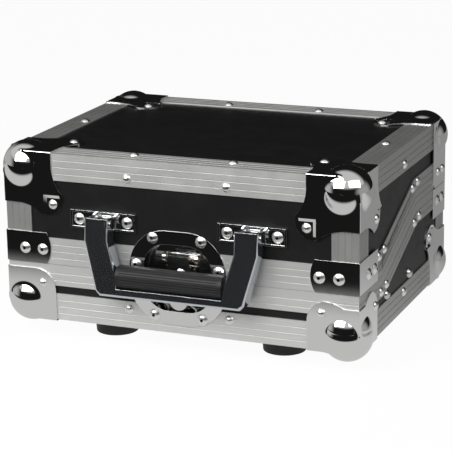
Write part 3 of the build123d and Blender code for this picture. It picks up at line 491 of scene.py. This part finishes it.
# %% Chrome and the other plated metals
def plated(name, colour, roughness, clouds, scratches, ripple=0.0, metallic=1.0):
    """Bright plating: a low roughness that rises where the surface has been handled."""
    material, tree, shader = new_material(name, colour, metallic, roughness)
    marks = use_group(tree, handling, Clouds=clouds, Scratches=scratches)
    vary(tree, shader, "Roughness", marks.outputs["Value"], middle=roughness, amount=0.22)
    if ripple:
        waves = stretched_noise(tree, (70.0, 70.0, 70.0), detail=1.0)
        relief(tree, shader, waves, ripple)
    return material


chrome = plated("polished_chrome", (0.80, 0.80, 0.79), roughness=0.035, clouds=0.16,
                scratches=0.10, ripple=0.00002)
arm_chrome = plated("handle_chrome", (0.70, 0.73, 0.77), roughness=0.06, clouds=0.2,
                    scratches=0.12, ripple=0.00003, metallic=0.985)
latch_plating = plated("latch_plating", (0.74, 0.74, 0.73), roughness=0.10, clouds=0.3,
                       scratches=0.15, ripple=0.00002)
rivet_plating = plated("nickel_plating", (0.90, 0.89, 0.87), roughness=0.27, clouds=0.3,
                       scratches=0.1)
zinc_plating = plated("zinc_plating", (0.66, 0.66, 0.65), roughness=0.22, clouds=0.4,
                      scratches=0.2)
copper_plating = plated("copper_passivation", (0.46, 0.29, 0.19), roughness=0.30, clouds=0.4,
                        scratches=0.1)
print("six plated metals")

# %% [markdown]
# ## Laminate, plastic, rubber and foam
#
# The panels are plywood with a black laminate, the grip is moulded plastic, and the feet are rubber.
# Their lumps are far too small to model, so a bump does it, and the same mask lightens the tops of
# the lumps a little as a painted highlight. Foam is open at its cut face. A Voronoi texture gives
# its round pores, darker in their pits as painted shade, and a little sheen gives its dusty look
# from the side.

# %% Laminate, plastic and rubber
def moulded(name, dark, light, roughness, fineness, depth, specular=0.5):
    """A black surface: painted highlight on its lump tops, lighter and duller where handled."""
    material, tree, shader = new_material(name, dark, 0.0, roughness)
    lumps_with_painted_highlight = use_group(tree, pebble, Fineness=fineness)
    marks = use_group(tree, handling, Clouds=0.3, Scratches=0.2)
    both = maths(tree, "ADD", lumps_with_painted_highlight.outputs["Value"], marks.outputs["Value"])
    # Base colour: lighter on the lump tops as painted highlight, and lighter under handling marks.
    tint(tree, shader, maths(tree, "ADD", both, 0.25, clamp=True), dark, light)
    vary(tree, shader, "Roughness", both, middle=roughness, amount=0.2)
    relief(tree, shader, lumps_with_painted_highlight.outputs["Height"], depth)
    shader.inputs["Specular IOR Level"].default_value = specular
    return material


laminate = moulded("black_laminate", (0.005, 0.005, 0.0055), (0.009, 0.009, 0.009),
                   roughness=0.42, fineness=1500.0, depth=0.00003, specular=0.30)
grip_plastic = moulded("ribbed_plastic", (0.008, 0.008, 0.008), (0.014, 0.014, 0.014),
                       roughness=0.45, fineness=1600.0, depth=0.00004, specular=0.28)
# Painted shade for the insides of the rivet holes: a dull, near-black finish.
rivet_hole = moulded("rivet_hole_painted_shade", (0.006, 0.006, 0.006), (0.02, 0.019, 0.018),
                     roughness=0.8, fineness=1500.0, depth=0.00002)
rubber = moulded("black_rubber", (0.010, 0.010, 0.010), (0.022, 0.022, 0.021),
                 roughness=0.60, fineness=800.0, depth=0.00008)
print("four black finishes")

# %% Foam
FOAM_PORES_PER_METRE = 900.0
FOAM_PIT_PAINTED_SHADE = (0.010, 0.010, 0.011)
FOAM_LIGHT = (0.045, 0.045, 0.048)

foam, tree, shader = new_material("charcoal_foam", (0.03, 0.03, 0.032), 0.0, 0.95)
place = tree.nodes.new("ShaderNodeTexCoord")
cells = tree.nodes.new("ShaderNodeTexVoronoi")
cells.inputs["Scale"].default_value = FOAM_PORES_PER_METRE
link(tree, place.outputs["Object"], cells.inputs["Vector"])
# Painted shade in the pits: the colour darkens towards each pore's middle, where the bump sinks too.
pore_relief_and_painted_shade = remap(tree, cells.outputs["Distance"], low=0.1, high=0.6)
tint(tree, shader, pore_relief_and_painted_shade, FOAM_PIT_PAINTED_SHADE, FOAM_LIGHT)
relief(tree, shader, pore_relief_and_painted_shade, depth=0.0004)
shader.inputs["Sheen Weight"].default_value = 0.15
print(foam.name)

# %% [markdown]
# ## Softened copies of the sheet-metal and panel parts
#
# A drawn solid has perfectly sharp edges, and no real edge is sharp: the thin bright line along
# every pressed or sawn edge is what tells the eye that a thing is metal. The frame's own meshes
# stay as they are. Each is copied, its loose triangles are merged into clean flat faces, and the
# edges that turn by more than 35 degrees get a narrow bevel of two steps or more. The copy then
# stands for the part.

# %% Clean copies and round edges
TURN = radians(35.0)
SAME_PLACE = 0.000004
SAME_PLANE = radians(0.6)


def clean_copy(source):
    """A copy of a frame part's mesh, with its triangles merged into flat faces."""
    form = bmesh.new()
    form.from_mesh(source.data)
    bmesh.ops.remove_doubles(form, verts=form.verts, dist=SAME_PLACE)
    bmesh.ops.dissolve_limit(form, angle_limit=SAME_PLANE, verts=form.verts, edges=form.edges)
    return form


def bevel_edges(form, edges, width, segments):
    """Round some edges; the width is in millimetres."""
    bmesh.ops.bevel(form, geom=edges, offset=width * MM, offset_type="OFFSET",
                    affect="EDGES", segments=segments, profile=0.5, material=-1,
                    clamp_overlap=True)


def round_edges(form, width, segments=2):
    """Round every edge that turns by more than TURN."""
    form.normal_update()
    edges = [e for e in form.edges if len(e.link_faces) == 2 and e.calc_face_angle(0) > TURN]
    bevel_edges(form, edges, width, segments)


# %% From a finished bmesh to a piece of the case
NORMAL_WEIGHT = 50


def placed(form, name, body, material, slot, replaces=()):
    """Turn a finished bmesh into a piece that rides on a body."""
    mesh = bpy.data.meshes.new(name)
    form.to_mesh(mesh)
    form.free()
    mesh.shade_smooth()
    mesh.set_sharp_from_angle(angle=TURN)
    mesh.materials.append(material)
    piece = bpy.data.objects.new(name, mesh)
    bpy.context.scene.collection.objects.link(piece)
    flatter = piece.modifiers.new("flat faces stay flat", "WEIGHTED_NORMAL")
    flatter.keep_sharp = True
    flatter.weight = NORMAL_WEIGHT
    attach(piece, body)
    if replaces:
        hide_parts(*replaces)
    return piece


def softened(node, material, slot, width):
    """A copy of a frame part with its edges rounded by a width in millimetres."""
    source = frame["nodes"][node]
    form = clean_copy(source)
    round_edges(form, width)
    return placed(form, node + "_finished", source["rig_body"], material, slot, [node])


# %% [markdown]
# ## Ball corners
#
# A ball corner is pressed from one sheet of steel: a round ball in the middle that takes the knocks,
# and three flaps that are riveted to the case. Where the ball runs into the flaps the steel flows in
# a soft curve, and that curve is what catches the light as a bright crescent. The drawn solid has a
# hard crease there. So the flaps are a softened copy of the drawn part, and the ball over them is
# made another way. The corner of a cube is divided finely, and every point moves along its line from
# the ball's middle until it stands on the ball, on a flap, or on the round passage between the two.
# In the corner itself the flaps would stick out of the ball, so there the ball alone counts.
#
# In the photograph the ball of the lower front right corner sits 6 mm lower than the others. It is
# lowered here too, and so differs from its drawn solid, which has the ball at the usual height.

# %% Sizes of a ball corner, in millimetres
PLATE = 1.5
BALL_RADIUS = 27.5
BALL_INSET = 19.0
FLARE_RADIUS = 10.0
EDGE_ROUND = 1.4
BALL_SKIN = 0.9
COVER = 0.02
PATCH = 44.5
DIVISIONS = 52
GRAZING = 0.05
FLAPS_FROM = -5.0
FLAPS_OVER = 8.0

# %% Ball: the corner of a cube, blown out to a sphere
def skin_at(out, faces):
    """How far the steel is from the ball's middle, in the direction of a point of the cube.

    out is that point and faces is the depth of each flap, both as seen from the ball's middle.
    Each flap gives its own answer: the ball, the round passage to the flap, or its flat face. The
    nearest of them counts, so that the steel runs on smoothly where two flaps meet.
    """
    nearest, flat = 10 * BALL_RADIUS, True
    swing = BALL_RADIUS + FLARE_RADIUS
    for depth, facing in zip(faces, -out.normalized()):
        if facing < GRAZING:
            continue
        slant = sqrt(max(0.0, 1 - facing * facing))
        flare_out = sqrt(swing ** 2 - (depth + FLARE_RADIUS) ** 2)
        on_flap = slant / facing * depth > flare_out
        if slant * swing < flare_out:
            reach = BALL_RADIUS
        elif on_flap:
            reach = depth / facing
        else:
            along = slant * flare_out + facing * (depth + FLARE_RADIUS)
            reach = along - sqrt(max(0.0, along ** 2 - swing ** 2 + FLARE_RADIUS ** 2))
        if reach < nearest:
            nearest, flat = reach, on_flap
    return out.length if flat else nearest


def blown_ball(form, middle):
    """Add the ball and its flare to a bmesh, in millimetres from the case's sharp corner.

    A point that is more than 5 mm nearer to the case's corner than the ball's middle, along every
    axis, is ball alone. From there on the flaps come in smoothly, over 8 mm.
    """
    low = -PLATE - COVER
    size = PATCH - low
    cube_middle = Vector((1, 1, 1)) * (low + size / 2)
    bmesh.ops.create_cube(form, size=size, matrix=Matrix.Translation(cube_middle))
    far = [f for f in form.faces if sum(f.normal) > 0]
    bmesh.ops.delete(form, geom=far, context="FACES")
    bmesh.ops.subdivide_edges(form, edges=form.edges[:], cuts=DIVISIONS, use_grid_fill=True)
    inner = low + EDGE_ROUND
    faces = middle - Vector((low, low, low))
    for v in form.verts:
        core = Vector([max(c, inner) for c in v.co])
        out = core + (v.co - core).normalized() * EDGE_ROUND - middle
        share = min(1.0, max(0.0, (max(out) - FLAPS_FROM) / FLAPS_OVER))
        share = share * share * (3 - 2 * share)
        reach = BALL_RADIUS + share * (skin_at(out, faces) - BALL_RADIUS)
        v.co = middle + out.normalized() * reach
    form.normal_update()
    bmesh.ops.solidify(form, geom=form.faces[:], thickness=BALL_SKIN)


# %% [markdown]
# ### The slope at a lobe
#
# Some flaps step down from the raised middle on to a lobe that lies on the panel. The drawn step is
# upright, but sheet steel can only be pressed to a slope. An edge that follows the step is extruded
# outwards and down, which makes an L of sloping steel.

# %% The slope where a lobe steps down on to the panel
STEP_AT = 46.5
STEP_RUN = 3.4
STEP_REACH = 65.5


def step_slope(form, axis):
    """An L of sloping steel along the step of the flap that faces along an axis."""
    across, up = [n for n in range(3) if n != axis]
    ridge = []
    for a, b in ((STEP_AT, STEP_REACH), (STEP_AT, STEP_AT), (STEP_REACH, STEP_AT)):
        place = Vector((0, 0, 0))
        place[axis], place[across], place[up] = -PLATE + COVER, a, b
        ridge.append(form.verts.new(place))
    edges = [form.edges.new(pair) for pair in zip(ridge, ridge[1:])]
    made = bmesh.ops.extrude_edge_only(form, edges=edges)["geom"]
    valley = [v for v in made if isinstance(v, bmesh.types.BMVert)]
    for v in valley:
        v.co[axis] = -COVER
        for n in (across, up):
            if v.co[n] < STEP_REACH - 1:
                v.co[n] += STEP_RUN
    faces = [f for f in made if isinstance(f, bmesh.types.BMFace)]
    for f in faces:
        f.normal_update()
        if f.normal[axis] > 0:
            f.normal_flip()
    foot = bmesh.ops.extrude_face_region(form, geom=faces, use_keep_orig=True)["geom"]
    for v in (g for g in foot if isinstance(g, bmesh.types.BMVert)):
        v.co[axis] += PLATE / 2


# %% [markdown]
# ### One form for eight corners
#
# Every ball is modelled as if it were the low left front one, and is then mirrored to its place. The
# case's corners are read from the frame's profiles, so that the balls follow the drawn case.

# %% Where the case's corners are
PROFILES = ("base_side_angles", "base_cross_angles", "lid_side_angles")
points = [v.co / MM for node in PROFILES for v in frame["nodes"][node].data.vertices]
CASE_LOW = Vector([min(p[n] for p in points) for n in range(3)])
CASE_SIZE = Vector([max(p[n] for p in points) for n in range(3)]) - CASE_LOW
print("case", [round(size, 2) for size in CASE_SIZE], "mm")


def case_corner(right, back, top):
    """One of the case's corners, and the signs that mirror the low left front corner to it."""
    signs, corner = Vector((1, 1, 1)), CASE_LOW.copy()
    for axis, far in enumerate((right, back, top)):
        if far:
            signs[axis] = -1
            corner[axis] += CASE_SIZE[axis]
    return signs, corner


# %% The flaps: a softened copy with its own ball out of the way
CORNER_ROUND = 0.5
FOLD_STEPS = 4
ON_BALL = 0.1
ON_FLAP = 0.05
LARGEST_BALL_FACE = 20
BALL_SUNK_TO = BALL_RADIUS - 0.4
LOWERED_BALL_SUNK_TO = 19.0


def sink_ball(form, middle, radius):
    """Draw the drawn ball in to a smaller radius, so that it hides under the blown one."""
    for v in form.verts:
        out = v.co - middle
        on_ball = abs(out.length - BALL_RADIUS * MM) < ON_BALL * MM
        if on_ball and max(f.calc_area() for f in v.link_faces) < LARGEST_BALL_FACE * MM * MM:
            v.co = middle + out.normalized() * radius * MM


def fold_edges(form, signs, corner):
    """The edges where two flaps meet."""
    def flaps_at(v):
        inset = v.co / MM - corner
        return sum(abs(inset[n] * signs[n] + PLATE) < ON_FLAP for n in range(3))

    return [e for e in form.edges if all(flaps_at(v) > 1 for v in e.verts)]


# %% A corner: softened flaps, and the ball over them
def ball_corner(node, right, back, top, stepped, drop=0.0):
    """The drawn corner with its ball sunk a little, and the blown ball laid over it."""
    source = frame["nodes"][node]
    form = clean_copy(source)
    signs, corner = case_corner(right, back, top)
    middle = (Vector([BALL_INSET * s for s in signs]) + corner) * MM
    sink_ball(form, middle, LOWERED_BALL_SUNK_TO if drop else BALL_SUNK_TO)
    bevel_edges(form, fold_edges(form, signs, corner), EDGE_ROUND, FOLD_STEPS)
    round_edges(form, CORNER_ROUND)
    ball = bmesh.new()
    blown_ball(ball, Vector((BALL_INSET, BALL_INSET, BALL_INSET - drop)))
    for axis in stepped:
        step_slope(ball, axis)
    for v in ball.verts:
        v.co = (Vector([c * s for c, s in zip(v.co, signs)]) + corner) * MM
    if (right + back + top) % 2:
        bmesh.ops.reverse_faces(ball, faces=ball.faces)
    mesh = bpy.data.meshes.new("ball")
    ball.to_mesh(mesh)
    ball.free()
    form.from_mesh(mesh)
    bpy.data.meshes.remove(mesh)
    return placed(form, node + "_pressed", source["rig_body"], chrome, "chromed_steel", [node])


# %% All eight corners: name, right, back, top, axes of the stepped flaps, lowered by
CORNERS = (
    ("base_corner_front_left", 0, 0, 0, (2,)),
    ("base_corner_front_right", 1, 0, 0, (2,), 6.0),
    ("base_corner_back_left", 0, 1, 0, (0, 1, 2)),
    ("base_corner_back_right", 1, 1, 0, (0, 1, 2)),
    ("lid_corner_front_left", 0, 0, 1, (0, 1, 2)),
    ("lid_corner_front_right", 1, 0, 1, (0, 1, 2)),
    ("lid_corner_back_left", 0, 1, 1, (2,)),
    ("lid_corner_back_right", 1, 1, 1, (2,)),
)
for row in CORNERS:
    piece = ball_corner(*row)
    print(piece.name, len(piece.data.polygons), "faces")

# %% [markdown]
# ## Foam lining
#
# The case is lined with cut sheets of closed-cell foam, glued in one beside the other. A knife
# leaves foam with soft edges, and its faces are never quite flat. Each sheet is a copy of its drawn
# solid with wide round edges, cut into small fields, and every point is pressed in a little by a
# noise. It is only ever pressed inwards, so that the foam stays in the room that was kept for it.

# %% Foam sheets
FOAM_ROUND = 2.2
FOAM_ROUND_STEPS = 4
FOAM_FIELD = 14.0
FOAM_DENT = 0.45
FOAM_WAVES_PER_METRE = 45.0


def foam_sheets(node):
    """Soft copies of a foam node's sheets."""
    source = frame["nodes"][node]
    form = clean_copy(source)
    round_edges(form, FOAM_ROUND, FOAM_ROUND_STEPS)
    for axis in range(3):
        low = min(v.co[axis] for v in form.verts)
        high = max(v.co[axis] for v in form.verts)
        normal = Vector([float(axis == n) for n in range(3)])
        at = low + FOAM_FIELD * MM
        while at < high:
            everything = form.verts[:] + form.edges[:] + form.faces[:]
            bmesh.ops.bisect_plane(form, geom=everything, plane_co=normal * at, plane_no=normal)
            at += FOAM_FIELD * MM
    form.normal_update()
    for v in form.verts:
        dent = 0.5 + 0.5 * noise.noise(v.co * FOAM_WAVES_PER_METRE)
        v.co -= v.normal * (FOAM_DENT * MM * dent)
    piece = placed(form, node + "_cut", source["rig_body"], foam, "black_foam", [node])
    return piece


FOAMS = [node for node in sorted(frame["nodes"]) if "foam" in node]
for node in FOAMS:
    print(node, len(foam_sheets(node).data.polygons), "faces")

# %% [markdown]
# ## Handle
#
# The handle is a channel, pressed from one steel sheet: two arms and a bar under the grip. The press
# leaves a wide round shoulder along every front edge, and on chrome such a shoulder mirrors the
# table below or the ceiling above as a bright band beside the dark flat face. So the front edges get
# a shoulder far wider than the small rounding of the rest. The edges that face up get a narrower
# lip, because the sheet is only 2 mm thick there and swings close to the brackets.

# %% Handle with round shoulders
SHOULDER = 3.0
LIP = 1.4
SHOULDER_STEPS = 7
HANDLE_ROUND = 0.3
SMALLEST_FRONT = 200
FRONT_PLANE = -160
LOOKS_FORWARD = -0.9
LOOKS_UP = 0.7


def handle():
    """The pressed handle: wide round shoulders in front, small ones elsewhere."""
    source = frame["nodes"]["handle_bail"]
    form = clean_copy(source)
    form.normal_update()
    front = [f for f in form.faces if f.normal.y < LOOKS_FORWARD
             and f.calc_area() > SMALLEST_FRONT * MM * MM
             and f.calc_center_median().y < FRONT_PLANE * MM]
    edges = {e for f in front for e in f.edges if e.calc_face_angle(0) > TURN}
    lip = {e for e in edges if any(f.normal.z > LOOKS_UP for f in e.link_faces)}
    for chosen, width in ((edges - lip, SHOULDER), (lip, LIP)):
        bevel_edges(form, [e for e in chosen if e.is_valid], width, SHOULDER_STEPS)
    round_edges(form, HANDLE_ROUND)
    bmesh.ops.triangulate(form, faces=[f for f in form.faces if len(f.verts) > 4],
                          ngon_method="EAR_CLIP")
    print(len(front), "front faces,", len(edges), "edges with a shoulder")
    return placed(form, "handle_bail_pressed", source["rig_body"], arm_chrome, "dark_chrome",
                  ["handle_bail"])


handle()

# %% [markdown]
# ## Keeper pin
#
# The hook of the latch pulls on a pin between the two lugs of the upper dish. The pin keeps its
# coppery tint at the ends, and the hook has rubbed its middle bright. So its mesh is cut at two
# planes, and the faces between them get a second material.

# %% Keeper pin: coppered ends, and a middle rubbed bright by the hook
PIN_BRIGHT = 14.0
PIN_ROUND = 0.3

pin = softened("latch_keeper_pin", copper_plating, "coppered_steel", PIN_ROUND)
pin.data.materials.append(latch_plating)
form = bmesh.new()
form.from_mesh(pin.data)
for side in (-1, 1):
    everything = form.verts[:] + form.edges[:] + form.faces[:]
    bmesh.ops.bisect_plane(form, geom=everything, plane_co=(side * PIN_BRIGHT * MM, 0, 0),
                           plane_no=(1, 0, 0))
for face in form.faces:
    if abs(face.calc_center_median().x) < PIN_BRIGHT * MM:
        face.material_index = 1
form.to_mesh(pin.data)
form.free()
print("keeper pin ready")

# %% [markdown]
# ## All other frame parts
#
# The rest of the parts get a softened copy and their finish. A word in a part's name picks the row,
# and the first row that fits counts. The last number is the width of the rounded edge: sawn panels
# and rubber are softer than drawn aluminium.

# %% Finish by name: words, material, slot, rounding in millimetres
FINISHES = (
    (("floor_panel", "front_panel", "back_panel", "left_panel", "right_panel", "top_panel"),
     laminate, "black_laminate", 0.4),
    (("cross_angles", "cross_rims"), aluminium_x, "aluminium_profile", 0.14),
    (("side_angles", "left_rim", "right_rim"), aluminium_back_painted_shade, "aluminium_profile", 0.14),
    (("rear_posts", "lid_posts"), aluminium_up_painted_shade, "aluminium_profile", 0.14),
    (("braces",), chrome, "chromed_steel", 0.35),
    (("latch_dish",), chrome, "chromed_steel", 0.8),
    (("handle_brackets",), chrome, "chromed_steel", 0.4),
    (("handle_grip",), grip_plastic, "grip_plastic", 0.12),
    (("rubber_feet",), rubber, "foot_rubber", 0.8),
    (("side_bolts", "foot_screws", "handle_rod"), zinc_plating, "zinc_plated_steel", 0.15),
    (("rivets",), rivet_plating, "nickel_rivets", 0.12),
    (("latch_", "hinge_", "pivot_pins"), latch_plating, "plated_latch_steel", 0.2),
)
REPLACED = {row[0] for row in CORNERS} | set(FOAMS) | {"handle_bail", "latch_keeper_pin"}
for node in sorted(frame["nodes"]):
    if node in REPLACED:
        continue
    for words, material, slot, width in FINISHES:
        if any(word in node for word in words):
            softened(node, material, slot, width)
            break
    else:
        print("no finish for", node)
print("softened", len(frame["nodes"]) - len(REPLACED), "parts")

# %% [markdown]
# ## Holes of the hollow rivets
#
# A blind rivet is pulled tight by a pin that then breaks off inside it, so its head keeps a dark
# hole in the middle. The holes are drawn already. Their faces get a dull, dark finish as painted
# shade, because a bright one would throw the light back out. All rivets of a part are one mesh, so
# each is found as an island of joined faces. A rivet's axis is the direction in which it is longer
# or shorter than in the other two, and the faces near that axis are the hole.

# %% Find each rivet in a mesh
def islands(form):
    """The sets of faces that hang together."""
    waiting = set(form.faces)
    while waiting:
        island, edge = set(), [waiting.pop()]
        while edge:
            face = edge.pop()
            island.add(face)
            near = {f for e in face.edges for f in e.link_faces} & waiting
            waiting -= near
            edge.extend(near)
        yield island


# %% Darken the holes with painted shade
HOLE_RADIUS = 1.75


def paint_shade_in_holes(piece):
    """Give the faces round each rivet's axis the dark finish of painted shade."""
    piece.data.materials.append(rivet_hole)
    form = bmesh.new()
    form.from_mesh(piece.data)
    dark = 0
    for island in islands(form):
        places = [v.co for f in island for v in f.verts]
        low = Vector([min(p[n] for p in places) for n in range(3)])
        high = Vector([max(p[n] for p in places) for n in range(3)])
        size = high - low
        axis = max(range(3), key=lambda n: min(abs(size[n] - size[m]) for m in range(3) if m != n))
        middle = (low + high) / 2
        for face in island:
            off = face.calc_center_median() - middle
            off[axis] = 0
            if off.length < HOLE_RADIUS * MM:
                face.material_index = 1
                dark += 1
    form.to_mesh(piece.data)
    form.free()
    return dark


for node in sorted(frame["nodes"]):
    if "blind" in node or "hollow" in node:
        print(node, paint_shade_in_holes(bpy.data.objects[node + "_finished"]), "dark faces")
